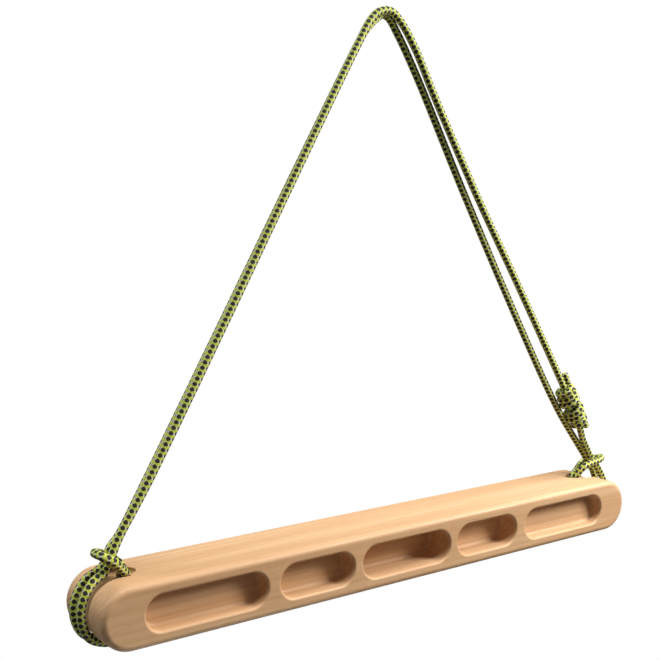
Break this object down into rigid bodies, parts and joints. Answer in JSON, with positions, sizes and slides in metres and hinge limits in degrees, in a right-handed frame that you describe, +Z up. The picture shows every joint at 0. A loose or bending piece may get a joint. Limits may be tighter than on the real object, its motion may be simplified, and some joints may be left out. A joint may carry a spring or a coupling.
{
  "type": "portable climbing hangboard",
  "caption": "Wooden finger-training bar with rounded ends and finger pockets, hung level on a closed knotted loop of cord.",
  "frame": {"origin": "underside of the cord's bend, where the hook or karabiner carries the loop", "axes": "+X along the bar, -Y the pocket side, +Z up"},
  "size_m": [0.5344, 0.06, 0.4482],
  "materials": {
    "wood": "sanded and oiled beech, satin",
    "cord": "braided nylon sheath, lime with black tracers"
  },
  "bodies": {
    "sling": {"right_leg_upper": "cord", "hook_bend_front": "cord", "left_leg_front": "cord", "left_leg_rear": "cord", "hook_bend_rear": "cord", "right_leg_rear": "cord", "right_leg_lower": "cord", "knot": "cord", "upper_tail": "cord", "lower_tail": "cord"},
    "bar": {"board": "wood", "left_wrap_front": "cord", "left_hole_front": "cord", "left_hitch": "cord", "left_hole_rear": "cord", "left_wrap_rear": "cord", "right_wrap_rear": "cord", "right_hole_rear": "cord", "right_hitch": "cord", "right_hole_front": "cord", "right_wrap_front": "cord"}
  },
  "joints": [
    {"name": "bar_tilt", "type": "hinge", "parent": "sling", "child": "bar", "pos_m": [0, 0, -0.3715], "axis": [1, 0, 0], "range_deg": [-30, 30]}
  ]
}
